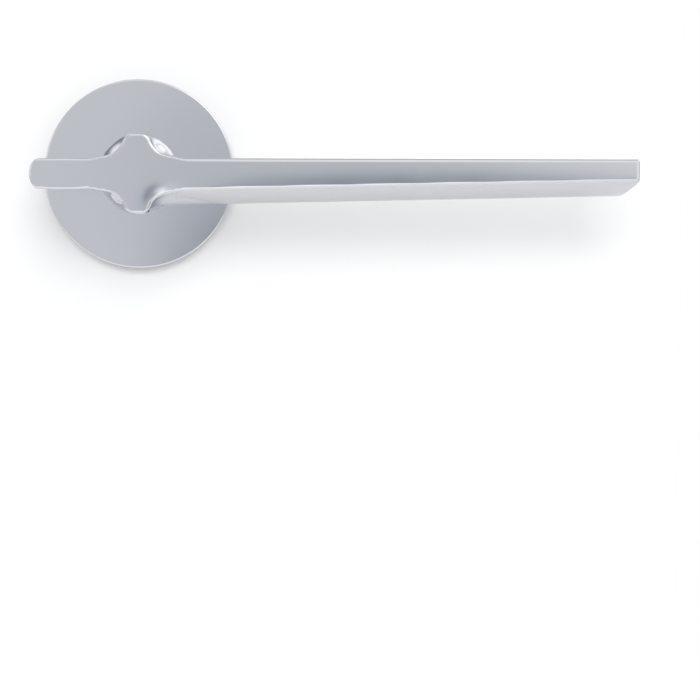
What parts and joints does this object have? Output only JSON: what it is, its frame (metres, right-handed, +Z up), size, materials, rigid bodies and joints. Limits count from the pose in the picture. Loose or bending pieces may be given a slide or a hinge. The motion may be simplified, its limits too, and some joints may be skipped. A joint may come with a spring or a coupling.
{
  "type": "door lever handle",
  "caption": "Polished chrome door lever handle on a round rose, with a fluted neck, a flat tapering arm, a sprung return and a square spindle.",
  "frame": {"origin": "centre of the rose's back face, on the spindle axis, in the plane of the door's face", "axes": "+X along the lever's arm, +Y into the door along the spindle, +Z up on the door"},
  "size_m": [0.1539, 0.1065, 0.052],
  "materials": {
    "polished_chrome": "polished",
    "satin_steel": "turned satin",
    "zinc_plated_steel": "bright zinc plate",
    "spring_steel": "drawn and oiled",
    "cast_zinc": "as cast, die-cast zinc",
    "nylon": "moulded, black"
  },
  "bodies": {
    "rose": {"rose_cover": "polished_chrome", "base_plate": "cast_zinc", "cassette_plate": "zinc_plated_steel", "bearing_bush": "nylon", "cover_snap_ring": "spring_steel", "return_spring_right": "spring_steel", "return_spring_left": "spring_steel", "plate_screw_top": "zinc_plated_steel", "plate_screw_bottom": "zinc_plated_steel", "fixing_bolt_left": "zinc_plated_steel", "fixing_bolt_right": "zinc_plated_steel", "bolt_washer_left": "zinc_plated_steel", "bolt_washer_right": "zinc_plated_steel"},
    "lever": {"lever": "polished_chrome", "neck_collar": "satin_steel", "wave_washer": "spring_steel", "thrust_washer": "nylon", "driver_cam": "zinc_plated_steel", "circlip": "spring_steel", "spindle": "zinc_plated_steel", "grub_screw": "zinc_plated_steel"}
  },
  "joints": [
    {"name": "lever_turn", "type": "hinge", "parent": "rose", "child": "lever", "pos_m": [0, 0, 0], "axis": [0, 1, 0], "range_deg": [0, 45], "stiffness_Nm_per_rad": 0.9, "springref_deg": -22.92, "deforming": ["return_spring_right", "return_spring_left"]}
  ]
}
